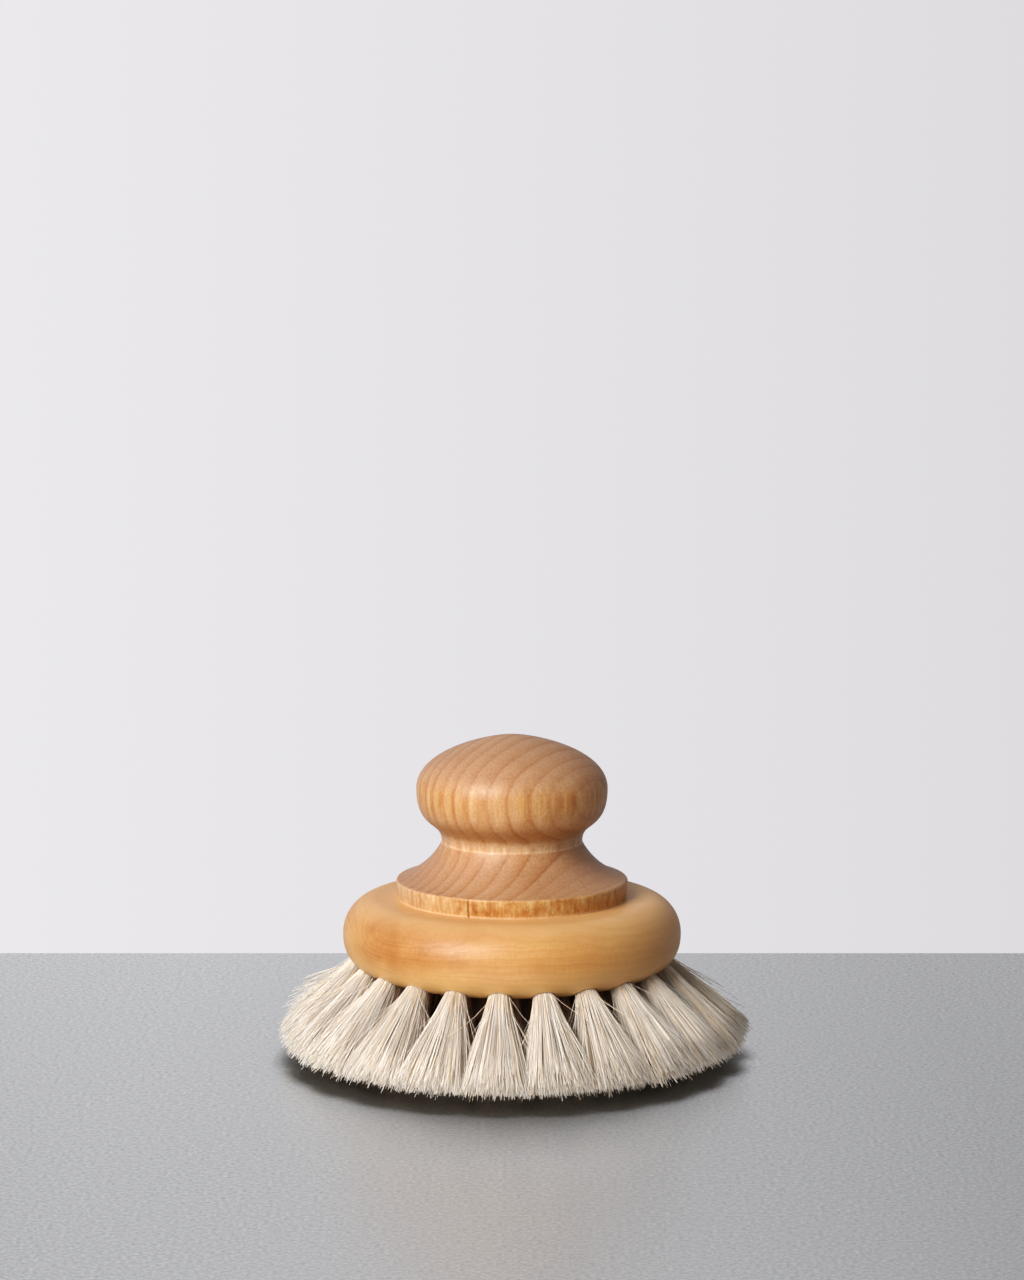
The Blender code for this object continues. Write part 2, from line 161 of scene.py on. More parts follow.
def bore_rings(count, mouth, exit_radius, inner, outer):
    """Rings down one bore: its mouth in the curved wood, its end, the drill point, the wire
    hole and that hole's end in the pocket. Each ring's points face the sector's corners."""
    foot, out, along, up = bore_frame(mouth, exit_radius)
    angle, radius = sector_edge(count, inner, outer)
    turn = np.arctan2(radius * np.sin(angle), radius * np.cos(angle) - mouth)[:, None]

    def ring(radius, reach):
        return foot + radius * (np.cos(turn) * out + np.sin(turn) * along) + reach * up

    lip = ring(tuft_bore_radius, 0)
    for _ in range(12):          # slide each point along the bore until it lies in the surface
        lip = lip + up * ((underside(np.hypot(lip[:, 0], lip[:, 1])) - lip[:, 2]) * 0.8)[:, None]
    end = ring(wire_hole_radius, 0)
    end = end + up * ((pocket_floor - end[:, 2]) / up[2])[:, None]
    reaches = ((tuft_bore_radius, tuft_bore_depth), (wire_hole_radius, tuft_bore_depth + bore_point))
    return np.stack([lip, lip + up * 0.0004, *(ring(*reach) for reach in reaches), end])


def disc_grids():
    """The disc's skin: rim, underside and pocket with their bores, and the dowel's bore."""
    turn = np.radians(np.linspace(90, 0, crown_steps, endpoint=False))
    upper = [(disc_radius - rim_upper_depth * (1 - np.cos(a) ** (2 / rim_upper_power)),
              disc_equator + disc_upper * np.sin(a) ** (2 / rim_upper_power)) for a in turn]
    last = drilled_rows["outer_row"][3]
    start = math.acos(((last - disc_radius + rim_lower_depth) / rim_lower_depth) ** (rim_lower_power / 2))
    turn = np.linspace(0, start, lower_steps)
    lower = [(disc_radius - rim_lower_depth * (1 - np.cos(a) ** (2 / rim_lower_power)),
              disc_equator - disc_lower * np.sin(a) ** (2 / rim_lower_power)) for a in turn]
    lower[-1] = (last, float(underside(last)))
    crown = [(pocket_radius, pocket_floor), (pocket_radius, disc_top), (pocket_radius + 0.0008, disc_top)]
    grids = [(turned_grid(crown + upper + lower, columns_round), True)]
    grids.append((turned_grid([(0, dowel_bore_end), (dowel_bore_radius, dowel_bore_end),
                               (dowel_bore_radius, pocket_floor)], columns_round), True))
    below, above = middle_below, dowel_bore_radius
    grids.append((turned_grid([(0, disc_underside), (below, disc_underside)], columns_round), True))
    for count, mouth, exit_radius, edge_below, edge_above in drilled_rows.values():
        rings = bore_rings(count, mouth, exit_radius, below, edge_below)
        turns = first_turn + 2 * np.pi / count * np.arange(count)
        grids += [(bore, True) for bore in turned_about(rings, turns)]
        grids += drilled_ring(count, below, edge_below, underside, rings[0], rings=7)
        grids += drilled_ring(count, above, edge_above, lambda radius: pocket_floor, rings[-1], rings=3)
        below, above = edge_below, edge_above
    return grids


def add_attribute(mesh, name, values):
    """Keep one number a vertex for the material to read."""
    mesh.attributes.new(name, "FLOAT", "POINT").data.foreach_set("value", values.astype(np.float32))


def vertex_arrays(mesh):
    """A mesh's vertex places and normals as arrays."""
    count = len(mesh.vertices)
    place, normal = np.empty(count * 3), np.empty(count * 3)
    mesh.vertices.foreach_get("co", place)
    mesh.vertex_normals.foreach_get("vector", normal)
    return place.reshape(-1, 3), normal.reshape(-1, 3)


class Finish:
    """A Principled material being put together; each call adds one shader node."""

    def __init__(self, name, **sockets):
        self.material = bpy.data.materials.new(name)
        self.material.use_nodes = True
        self.tree = self.material.node_tree
        self.shader = self.tree.nodes["Principled BSDF"]
        for socket, value in sockets.items():
            title = socket.replace("_", " ").title().replace("Ior", "IOR")
            self.shader.inputs[title].default_value = value

    def add(self, kind, inputs=(), **settings):
        node = self.tree.nodes.new("ShaderNode" + kind)
        for name, value in settings.items():
            setattr(node, name, value)
        for socket, value in dict(inputs).items():
            if isinstance(value, bpy.types.NodeSocket):
                self.tree.links.new(value, node.inputs[socket])
            else:
                node.inputs[socket].default_value = value
        return node

    def combine(self, operation, first, second=0.0):
        return self.add("Math", {0: first, 1: second}, operation=operation).outputs[0]

    def stored(self, name):
        return self.add("Attribute", attribute_name=name).outputs["Fac"]

    def stretched(self, scale, turn=(0, 0, 0)):
        place = self.add("TexCoord").outputs["Object"]
        return self.add("Mapping", {"Vector": place, "Rotation": turn, "Scale": scale}).outputs[0]

    def along_way(self, direction):
        place = self.add("TexCoord").outputs["Object"]
        return self.add("VectorMath", {0: place, 1: direction}, operation="DOT_PRODUCT").outputs["Value"]

    def noise(self, vector, scale, detail=2.0, roughness=0.5):
        return self.add("TexNoise", {"Vector": vector, "Scale": scale, "Detail": detail,
                                     "Roughness": roughness}).outputs["Fac"]

    def ramp(self, value, *stops):
        node = self.add("ValToRGB", {"Fac": value})
        for index, (position, colour) in enumerate(stops):
            band = node.color_ramp.elements
            stop = band[index] if index < 2 else band.new(position)
            stop.position = position
            stop.color = (*colour, 1) if len(colour) == 3 else colour
        return node.outputs["Color"]

    def level(self, value, low, high, start=0.0, end=1.0):
        return self.add("MapRange", {"Value": value, "From Min": low, "From Max": high,
                                     "To Min": start, "To Max": end}).outputs[0]

    def mix(self, share, first, second, blend_type="MIX"):
        node = self.add("Mix", data_type="RGBA", blend_type=blend_type)
        for socket, value in ((0, share), (6, first), (7, second)):
            if isinstance(value, bpy.types.NodeSocket):
                self.tree.links.new(value, node.inputs[socket])
            else:
                node.inputs[socket].default_value = value if socket == 0 else (*value, 1)
        return node.outputs[2]

    def paint(self, colour, roughness=None, height=None, depth=0.0):
        self.tree.links.new(colour, self.shader.inputs["Base Color"])
        if roughness is not None:
            self.tree.links.new(roughness, self.shader.inputs["Roughness"])
        if height is not None:
            bump = self.add("Bump", {"Height": height, "Strength": 0.5, "Distance": depth})
            self.tree.links.new(bump.outputs[0], self.shader.inputs["Normal"])
        return self.material


def new_piece(name, mesh, material, slot, *nodes):
    """Add a finished piece at the origin, on the one body, in place of its CAD nodes."""
    mesh.materials.append(material)
    piece = bpy.data.objects.new(name, mesh)
    bpy.context.scene.collection.objects.link(piece)
    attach(piece, "root")
    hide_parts(*nodes)
    return piece


disc_mesh = joined_mesh("turned_disc", disc_grids())
place, normal = vertex_arrays(disc_mesh)
# The rings are near-flat sheets that dip to the right. At the left of the front they bulge
# out through the rim, where they show as soft arcs and the wood takes more oil.
ring_spacing, ring_dip = 0.0021, 0.10
swirl_turn, swirl_level, swirl_reach = math.radians(-141), 0.0366, 0.0446
swirl_rings, swirl_height, swirl_left, swirl_right = 4.3, 0.0072, 0.012, 0.034
from_axis = np.hypot(place[:, 0], place[:, 1])
round_rim = (np.arctan2(place[:, 1], place[:, 0]) - swirl_turn + np.pi) % (2 * np.pi) - np.pi
round_rim *= disc_radius
up_rim = np.hypot(place[:, 2] - swirl_level, from_axis - swirl_reach)
width = np.where(round_rim > 0, swirl_right, swirl_left)
bulge = np.exp(-(up_rim / swirl_height) ** 2 - (round_rim / width) ** 2)
sheet = place[:, 2] + ring_dip * place[:, 0] \
    + 0.0009 * np.sin(place[:, 0] / 0.017 + 1.2) * np.cos(place[:, 1] / 0.023)
add_attribute(disc_mesh, "growth", sheet / ring_spacing + swirl_rings * bulge)
add_attribute(disc_mesh, "amber", np.exp(-(up_rim / 0.0115) ** 2 - (round_rim / (width * 0.9)) ** 2))
fibre = np.array((math.cos(math.radians(-52)), math.sin(math.radians(-52)), 0))
add_attribute(disc_mesh, "end_grain", np.abs(normal @ fibre))
add_attribute(disc_mesh, "upper_face", normal[:, 2].clip(0, 1))

birch = Finish("oiled_birch_disc", roughness=0.44, coat_weight=0.06, coat_roughness=0.36)
drift = birch.noise(birch.stretched((1, 1, 1)), 75, 3, 0.6)
growth = birch.combine("ADD", birch.stored("growth"), birch.level(drift, 0, 1, -0.85, 0.85))
line = birch.ramp(birch.combine("FRACT", growth), (0.0, (0.90, 0.80, 0.64)), (1.0, (0.92, 0.83, 0.68)),
                  (0.16, (1.0, 0.98, 0.95)), (0.60, (1.0, 1.0, 1.0)))
# Fine streaks follow the rings, and short upright flecks cross them.
across_rings = birch.combine("MULTIPLY", growth, 5.2)
along_x, along_y = birch.along_way((55, 0, 0)), birch.along_way((0, 55, 0))
along_rings = birch.add("CombineXYZ", {0: across_rings, 1: along_x, 2: along_y}).outputs[0]
streaks = birch.noise(along_rings, 1.0, 3, 0.6)
flecks = birch.noise(birch.stretched((1700, 1700, 480)), 1, 2, 0.6)
patches = birch.ramp(birch.noise(birch.stretched((1, 1, 1.8), (0, 0, 0.5)), 30, 3, 0.55),
                     (0.34, (0.510, 0.250, 0.090)), (0.64, (0.610, 0.352, 0.152)))
stain = birch.ramp(birch.noise(birch.stretched((1, 1, 1.3)), 110, 3, 0.6),
                   (0.34, (0.370, 0.150, 0.045)), (0.66, (0.490, 0.245, 0.092)))
gold = birch.mix(birch.level(birch.stored("amber"), 0.05, 0.75, 0.0, 0.90), patches, stain)
gold = birch.mix(0.62, gold, line, "MULTIPLY")
streak_tint = birch.ramp(streaks, (0.30, (0.90, 0.83, 0.72)), (0.66, (1.05, 1.06, 1.08)))
fleck_tint = birch.ramp(flecks, (0.32, (0.90, 0.86, 0.78)), (0.62, (1.03, 1.03, 1.03)))
gold = birch.mix(0.70, gold, streak_tint, "MULTIPLY")
gold = birch.mix(0.65, gold, fleck_tint, "MULTIPLY")
cut_ends = birch.level(birch.stored("end_grain"), 0.55, 1.0, 0.0, 0.25)
gold = birch.mix(cut_ends, gold, (0.58, 0.30, 0.105))
# The lower rim is painted paler as painted light thrown up from the table, the faces turned
# upwards are painted paler as painted sheen, and the right of the rim is paler.
bounce_paint_low_rim = birch.level(birch.along_way((0, 0, 1)), 0.0255, 0.0330, 0.62, 0.0)
right_rim = birch.level(birch.along_way((1, 0, 0)), 0.016, 0.042, 0.0, 0.5)
sheen_paint_top = birch.level(birch.stored("upper_face"), 0.55, 0.95, 0.0, 0.55)
gold = birch.mix(bounce_paint_low_rim, gold, (0.69, 0.46, 0.215))
gold = birch.mix(right_rim, gold, (0.66, 0.41, 0.19))
gold = birch.mix(sheen_paint_top, gold, (0.72, 0.44, 0.22))
disc_finish = birch.paint(gold, birch.level(streaks, 0.3, 0.7, 0.48, 0.40), flecks, 0.00003)
new_piece("turned_disc", disc_mesh, disc_finish, "disc_birch", "brush_disc")


# The joining dowel
#
# A short length of birch rod with chamfered ends, left raw because it is glued out of
# sight into the knob and the disc.
raw_birch = Finish("raw_birch_dowel", roughness=0.72)
rod_grain = raw_birch.noise(raw_birch.stretched((900, 900, 40)), 1, 3, 0.6)
raw_birch.paint(raw_birch.ramp(rod_grain, (0.3, (0.50, 0.32, 0.16)), (0.7, (0.70, 0.50, 0.29))),
                height=rod_grain, depth=0.00004)
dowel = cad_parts["joining_dowel"]
dowel.data.materials.clear()
dowel.data.materials.append(raw_birch.material)


# The drawing wire
#
# One length of soft stainless wire. It runs round the pocket from hole to hole, goes down
# each one, through the fold of the tuft, and up again, which is what holds the hair.
steel = Finish("drawn_steel_wire", metallic=1.0, roughness=0.32)
die_marks = steel.noise(steel.stretched((2500, 2500, 2500)), 1, 1, 0.5)
steel.paint(steel.ramp(die_marks, (0.3, (0.47, 0.47, 0.49)), (0.7, (0.62, 0.62, 0.64))),
            steel.level(die_marks, 0.3, 0.7, 0.26, 0.40))
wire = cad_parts["drawing_wire"]
wire.data.materials.clear()
wire.data.materials.append(steel.material)


# The knob
#
# One piece of birch, turned to a flattened round grip with a waist and a flared foot, and
# glued to the disc. It was cut with the fibre upright, so the growth rings run down its
# sides, lean across the dome and the flare, and the cut ends there drink more oil.
knob_foot, knob_crown = disc_top, 0.0866
belly_radius, belly_level = 0.0254, 0.0722
waist_radius, waist_level = 0.0187, 0.0580
foot_radius, foot_edge, foot_lip, foot_taper = 0.0308, 0.0481, 0.0008, 0.0004
crown_round = 0.006              # the top is sanded round inside this radius
knob_bore_end = 0.0585


def cubic(t, start, pull_out, pull_in, end):
    """Points of a cubic curve at shares t of its way: each pull is the place of one handle."""
    return (1 - t) ** 3 * start + 3 * t * (1 - t) ** 2 * pull_out \
        + 3 * t * t * (1 - t) * pull_in + t ** 3 * end


def smooth_run(start, pull_out, pull_in, end, steps):
    """Evenly spaced shares of a cubic curve, without its start."""
    t = np.linspace(0, 1, steps + 1)[1:, None]
    return cubic(t, *(np.array(point) for point in (start, pull_out, pull_in, end)))


def knob_profile():
    """The knob's outline from the crown, over the belly, the waist and the flare, round the
    foot's lip and back in under it to the end of the dowel's bore."""
    crown, belly = (0, knob_crown), (belly_radius, belly_level)
    waist, flare = (waist_radius, waist_level), (foot_radius - foot_lip, foot_edge)
    lip = np.radians(np.linspace(80, 0, 7))
    dome = np.concatenate(([crown], smooth_run(
        crown, (0.0027, knob_crown), (belly_radius, belly_level + 0.0110), belly, 64)))
    # Inside the crown's radius a parabola takes over, at the slope that the curve has there.
    last = np.searchsorted(dome[:, 0], crown_round)
    run, fall = dome[last + 1] - dome[last]
    radius, height = dome[last]
    dome[:last, 1] = height + fall / run * (dome[:last, 0] ** 2 - radius ** 2) / (2 * radius)
    under_belly = smooth_run(belly, (belly_radius, belly_level - 0.0110),
                             (waist_radius, waist_level + 0.0062), waist, 44)
    flaring = smooth_run(waist, (waist_radius, waist_level - 0.0005),
                         (flare[0] - 0.0077, foot_edge + 0.0025), flare, 48)
    rounded = np.stack((flare[0] + foot_lip * np.cos(lip), foot_edge - foot_lip * (1 - np.sin(lip))), -1)
    bored_foot = [(foot_radius - foot_taper * 0.5, knob_foot + 0.0018), (foot_radius - foot_taper, knob_foot),
                  (0.018, knob_foot), (dowel_bore_radius, knob_foot),
                  (dowel_bore_radius, knob_bore_end), (0, knob_bore_end)]
    return np.concatenate((dome, under_belly, flaring, rounded, bored_foot))


knob_mesh = joined_mesh("turned_knob", [(turned_grid(knob_profile(), 264), True)])
place, normal = vertex_arrays(knob_mesh)
# The tree's heart lies to the left of the knob and behind it, and leans a little. Each
# year's ring has its own width, given here by its distance from the heart in millimetres.
heart_x, heart_y = -0.0732, 0.0435
year_rings = (50.5, 54.9, 58.8, 63.1, 67.0, 70.6, 74.7, 78.4, 82.7, 86.3, 90.5, 95.3, 99.7, 103.8,
              106.5, 109.5, 112.0, 114.8, 118.0)
above_middle = place[:, 2] - 0.070
from_heart = np.hypot(place[:, 0] - heart_x - 0.018 * above_middle,
                      place[:, 1] - heart_y - 0.072 * above_middle) - 0.05 * above_middle.clip(None, 0)
years = np.interp(from_heart * 1000, year_rings, np.arange(len(year_rings)))
add_attribute(knob_mesh, "growth", years)
# The lines are faint where the rings close up at the right, and in the band round the neck
# where a highlight is painted.
on_flare = np.clip((waist_level + 0.002 - place[:, 2]) / 0.003, 0, 1)
faint_above = 12.2 + 0.9 * on_flare
faded = (0.40 + 0.35 * on_flare) * np.clip((years - faint_above) / 1.2, 0, 1)
highlight_band = np.exp(-((place[:, 2] - 0.0590) / 0.0014) ** 2)
add_attribute(knob_mesh, "line_strength", (1 - faded) * (1 - 0.75 * highlight_band))
add_attribute(knob_mesh, "end_grain", np.abs(normal[:, 2]))
below_edge = np.clip((foot_edge - 0.0001 - place[:, 2]) / 0.0004, 0, 1)
on_outside = np.hypot(place[:, 0], place[:, 1]) > 0.029
add_attribute(knob_mesh, "foot_edge", below_edge * on_outside)

knob = Finish("oiled_birch_knob", roughness=0.44, coat_weight=0.08, coat_roughness=0.36)
wander = knob.noise(knob.stretched((1, 1, 0.35)), 60, 3, 0.5)
ragged = knob.noise(knob.stretched((1, 1, 0.25)), 700, 3, 0.65)
growth = knob.combine("ADD", knob.stored("growth"), knob.level(wander, 0, 1, -0.16, 0.16))
ring = knob.combine("FRACT", knob.combine("ADD", growth, knob.level(ragged, 0, 1, -0.10, 0.10)))
season = knob.ramp(ring, (0.0, (0.72, 0.55, 0.38)), (1.0, (0.73, 0.56, 0.40)), (0.07, (0.90, 0.83, 0.74)),
                   (0.16, (1.05, 1.06, 1.08)), (0.42, (1.03, 1.03, 1.03)), (0.70, (0.97, 0.91, 0.82)),
                   (0.90, (0.90, 0.79, 0.65)))
fading = knob.level(knob.noise(knob.stretched((1, 1, 0.3)), 34, 2, 0.5), 0.30, 0.62, 0.35, 0.90)
fading = knob.combine("MULTIPLY", fading, knob.stored("line_strength"))
fibres = knob.noise(knob.stretched((2100, 2100, 260)), 1, 2, 0.65)
pores = knob.noise(knob.stretched((1, 1, 1)), 1500, 2, 0.6)
streaks = knob.noise(knob.stretched((520, 520, 16)), 1, 2, 0.5)
side_grain = knob.ramp(streaks, (0.32, (0.455, 0.225, 0.095)), (0.66, (0.570, 0.345, 0.172)))
cut_grain = knob.ramp(knob.noise(knob.stretched((1, 1, 1)), 45, 2, 0.5),
                      (0.30, (0.400, 0.212, 0.118)), (0.70, (0.480, 0.285, 0.175)))
wood = knob.mix(knob.level(knob.stored("end_grain"), 0.10, 0.72), side_grain, cut_grain)
# Upright patches of deep orange lie in the later half of each ring, where the wood is steep.
deep = knob.level(knob.noise(knob.stretched((640, 640, 85)), 1, 3, 0.6), 0.50, 0.62)
later = knob.ramp(ring, (0.34, (0, 0, 0)), (1.0, (0.5, 0.5, 0.5)), (0.62, (1, 1, 1)), (0.90, (1, 1, 1)))
steep = knob.level(knob.stored("end_grain"), 0.12, 0.55, 0.75, 0.0)
deep = knob.combine("MULTIPLY", knob.combine("MULTIPLY", deep, later), steep)
wood = knob.mix(deep, wood, (1.0, 0.80, 0.50), "MULTIPLY")
wood = knob.mix(fading, wood, season, "MULTIPLY")
# The foot's edge is straight off the tool: blotches and uneven upright streaks, with one fine
# drying crack left of the front. It is paler towards the right, paler at the left as painted
# sheen, and a pale line along the lower corner is a painted highlight.
edge_streaks = knob.noise(knob.stretched((900, 900, 40)), 1, 3, 0.7)
edge_blotches = knob.noise(knob.stretched((330, 330, 240)), 1, 3, 0.65)
edge_wood = knob.ramp(edge_blotches, (0.34, (0.430, 0.170, 0.046)), (0.66, (0.650, 0.425, 0.210)),
                      (0.48, (0.545, 0.275, 0.090)))
sideways, height = knob.along_way((1, 0, 0)), knob.along_way((0, 0, 1))
edge_wood = knob.mix(knob.level(sideways, 0.006, 0.026, 0.0, 0.45), edge_wood, (0.68, 0.42, 0.19))
edge_wood = knob.mix(knob.level(sideways, -0.029, -0.010, 0.65, 0.0), edge_wood, (0.67, 0.48, 0.31))
edge_tint = knob.ramp(edge_streaks, (0.34, (0.78, 0.66, 0.50)), (0.60, (1.05, 1.08, 1.15)))
edge_wood = knob.mix(0.85, edge_wood, edge_tint, "MULTIPLY")
edge_wood = knob.mix(knob.level(height, 0.0432, 0.0437, 0.75, 0.0), edge_wood, (0.76, 0.55, 0.34))
crack_turn, crack_core, crack_reach = math.radians(-111.7), 0.00018, 0.00042
off_crack = knob.combine("ABSOLUTE", knob.along_way((math.sin(crack_turn), -math.cos(crack_turn), 0)))
in_front = knob.level(knob.along_way((0, 1, 0)), -0.002, 0.0, 1.0, 0.0)
crack = knob.combine("MULTIPLY", knob.level(off_crack, crack_core, crack_reach, 0.85, 0.0), in_front)
edge_wood = knob.mix(crack, edge_wood, (0.28, 0.095, 0.026))
wood = knob.mix(knob.stored("foot_edge"), wood, edge_wood)
# A narrow pale band round the neck is a painted highlight, and the hollow above it, under the
# belly, is painted darker as shade.
neck = knob.ramp(knob.level(height, 0.0565, 0.0665), (0.10, (1.0, 1.0, 1.0)), (0.97, (1.0, 1.0, 1.0)),
                 (0.150, (1.32, 1.56, 2.05)), (0.200, (1.10, 1.26, 1.58)), (0.37, (1.04, 1.14, 1.30)),
                 (0.47, (0.90, 0.87, 0.70)), (0.70, (0.90, 0.86, 0.66)))
wood = knob.mix(1.0, wood, neck, "MULTIPLY")
fibre_tint = knob.ramp(fibres, (0.30, (0.86, 0.81, 0.74)), (0.66, (1.06, 1.06, 1.06)))
pore_tint = knob.ramp(pores, (0.32, (0.88, 0.84, 0.78)), (0.70, (1.10, 1.10, 1.12)), (0.48, (1.0, 1.0, 1.0)))
wood = knob.mix(0.7, wood, fibre_tint, "MULTIPLY")
wood = knob.mix(0.8, wood, pore_tint, "MULTIPLY")
knob_finish = knob.paint(wood, knob.level(fibres, 0.3, 0.7, 0.50, 0.40), pores, 0.00005)
new_piece("turned_knob", knob_mesh, knob_finish, "knob_birch", "knob_handle")


# The outer row of hair
#
# Twenty-two tufts of undyed pale horsehair, folded over the wire and splayed outwards
# through slanted bores. They are trimmed to a rounded edge, clear of the table, so their
# ends spread into one soft skirt, with a few loose hairs across the gaps.
hair_radius = 0.000088
bundle_radius = 0.0028
golden_turn = 2.399963           # the turn from one root to the next, which spaces them evenly
root_cover = 0.004               # the length of hair hidden in the bore
trim_radius, trim_level = 0.0487, 0.0070          # middle of the trimmed edge's curve
trim_out, trim_up = 0.0128, 0.0120                # its reach outwards, and above its middle


def hair_tubes(route, radius, spin):
    """Three-sided tubes along many routes at once. Each side stands square to the line from
    a hair's root to its tip, so a tube is its route plus three spokes at every point."""
    run = route[:, -1] - route[:, 0]
    run /= np.linalg.norm(run, axis=1, keepdims=True)
    first = np.cross(run, (0.31, 0.87, 0.17))
    first /= np.linalg.norm(first, axis=1, keepdims=True)
    second = np.cross(run, first)
    turn = spin[:, None] + np.arange(3) * 2 * np.pi / 3
    spoke = first[:, None] * np.cos(turn)[..., None] + second[:, None] * np.sin(turn)[..., None]
    taper = np.linspace(1, 0.78, route.shape[1])[None, :, None, None]
    points = route[:, :, None] + spoke[:, None] * radius[:, None, None, None] * taper
    hairs, steps = route.shape[:2]
    index = np.arange(hairs * steps * 3).reshape(hairs, steps, 3)
    after = np.roll(index, -1, axis=2)
    sides = np.stack((index[:, :-1], after[:, :-1], after[:, 1:], index[:, 1:]), -1).reshape(-1, 4)
    return points.reshape(-1, 3), sides, index[:, 0, ::-1], index[:, -1]


def trimmed_length(mouth, height, slope, floor, reach):
    """How far straight hair runs from a mouth before it is trimmed, at a slope from plumb: to
    the floor near the axis, then to a quarter ellipse, flatter below its middle than above."""
    sine, cosine = np.sin(slope), np.cos(slope)
    out, up = mouth - trim_radius, height - trim_level

    def to_ellipse(reach_up):
        squares = (sine / reach) ** 2 + (cosine / reach_up) ** 2
        middle = (up * cosine / reach_up ** 2 - out * sine / reach ** 2) / squares
        rest = ((out / reach) ** 2 + (up / reach_up) ** 2 - 1) / squares
        return middle + np.sqrt((middle ** 2 - rest).clip(0))

    above, below = to_ellipse(trim_up), to_ellipse(trim_level - floor)
    to_floor = (height - floor) / cosine
    length = np.where(above * cosine < up, above, below)
    return np.where(out + to_floor * sine < 0, to_floor, length)


def tuft_mesh(name, row, number, hairs, steps, wisps, middle, half_fan, half_turn, floor, loose,
              reach=trim_out, flyaways=0):
    """One tuft: roots fill the bore evenly, hairs gather in small wisps and their tips fan out.
    A share of them is loose and strays, and the first few, the flyaways, leave nearly level.
    Each hair is a smooth curve from the bore to its trimmed tip."""
    count, mouth, exit_radius = drilled_rows[row][:3]
    seed = np.random.default_rng(1000 * list(drilled_rows).index(row) + number)
    foot, out, along, up = bore_frame(mouth, exit_radius)
    spiral = np.arange(hairs) * golden_turn + seed.uniform(0, 6)
    spread = np.sqrt((np.arange(hairs) + 0.5) / hairs)
    share = np.stack((spread * np.cos(spiral), spread * np.sin(spiral)), -1)
    share += seed.normal(0, 0.03, share.shape)
    share /= np.maximum(1, np.linalg.norm(share, axis=1, keepdims=True))
    root = foot + bundle_radius * (share[:, :1] * out + share[:, 1:] * along)
    wisp = seed.uniform(-1, 1, (wisps, 2))
    nearest = ((share[:, None] - wisp) ** 2).sum(2).argmin(1)
    pull = seed.uniform(0.0, 0.55, wisps)[nearest, None]
    lean = share + (wisp[nearest] - share) * pull + seed.normal(0, 0.055, share.shape)
    lean += seed.normal(0, 0.04, (wisps, 2))[nearest] + seed.normal(0, 0.03, 2)
    # The round bundle spreads out squarely on its inner side and stays round on its outer one.
    lean *= 1 + np.where(lean[:, :1] < 0, 0.7, 0.15) * np.abs(lean[:, :1] * lean[:, 1:])
    strays = seed.random(hairs) < loose
    lean[strays] += seed.normal(0, 1, (strays.sum(), 2)) * (0.6, 0.9)
    slope = middle + half_fan * lean[:, 0].clip(-1.5, 1.7)
    slope[:flyaways] = np.radians(seed.uniform(62, 72, flyaways))
    turn = half_turn * lean[:, 1]
    # Most hairs end a little short of the trim, some shorter and some past it, wisp by wisp.
    short = np.abs(seed.normal(0, 0.0006, hairs))
    short += 0.0022 * (seed.random(hairs) < 0.15) * seed.random(hairs)
    short -= 0.0016 * (seed.random(hairs) < 0.16) * seed.random(hairs)
    short += seed.normal(0, 0.0006, wisps)[nearest]
    short[:flyaways] = -seed.uniform(0.001, 0.006, flyaways)
    length = trimmed_length(mouth, foot[2], slope, floor, reach) - short
    radius = mouth + length * np.sin(slope)
    tip = np.stack((radius * np.cos(turn), radius * np.sin(turn), foot[2] - length * np.cos(slope)), -1)
    length = np.linalg.norm(tip - root, axis=1, keepdims=True)
    spring = (tip - root) / length
    leave = root + (0.7 * spring - 0.3 * up) * length * 0.25
    bow = seed.normal(0, 0.018, (hairs, 3)) * length
    bow[strays] *= 2.5
    arrive = tip - (spring * 0.92 - up * 0.04) * length * 0.36 + bow
    t = np.linspace(0, 1, steps)[None, :, None]
    curve = cubic(t, root[:, None], leave[:, None], arrive[:, None], tip[:, None])
    inside = root + up * root_cover
    route = np.concatenate((inside[:, None], curve), 1)
    route = turned_about(route, first_turn + 2 * np.pi / count * number)
    route[..., 2] = np.maximum(route[..., 2], hair_radius * 1.4)
    points, sides, root_ends, tip_ends = hair_tubes(
        route, hair_radius * seed.uniform(0.75, 1.30, hairs), seed.uniform(0, 6.28, hairs))
    mesh = bpy.data.meshes.new(name)
    mesh.from_pydata(points, [], [*sides.tolist(), *root_ends.tolist(), *tip_ends.tolist()])
    mesh.shade_smooth()
    shade = 0.32 * seed.random(wisps)[nearest] + 0.68 * seed.random(hairs)
    add_attribute(mesh, "tone", np.repeat(shade, 3 * route.shape[1]))
    add_attribute(mesh, "along", np.tile(np.repeat(np.linspace(0, 1, route.shape[1]), 3), hairs))
    return mesh


def hair_finish(name, root_shade_colour, root_shade_reach):
    """Pale hair in mixed tones from light brown to straw, with painted shade darkening it towards the roots.
    """
    hair = Finish(name, roughness=0.48, specular_ior_level=0.45, sheen_weight=0.25,
                  subsurface_weight=0.35, subsurface_radius=(1.0, 0.85, 0.70), subsurface_scale=0.0005)
    tone = hair.ramp(hair.stored("tone"), (0.10, (0.74, 0.59, 0.45)), (0.92, (0.90, 0.66, 0.42)),
                     (0.22, (0.94, 0.82, 0.70)), (0.38, (0.99, 0.91, 0.83)), (0.66, (0.99, 0.89, 0.78)),
                     (0.80, (0.96, 0.80, 0.61)))
    ends = hair.ramp(hair.stored("along"), (0.10, root_shade_colour), (root_shade_reach, (1.0, 1.0, 1.0)))
    return hair.paint(hair.mix(1.0, tone, ends, "MULTIPLY"))


# The outer hair is painted a little darker near the roots, as painted shade under the wood.
outer_finish = hair_finish("pale_horsehair", (0.92, 0.82, 0.71), 0.42)
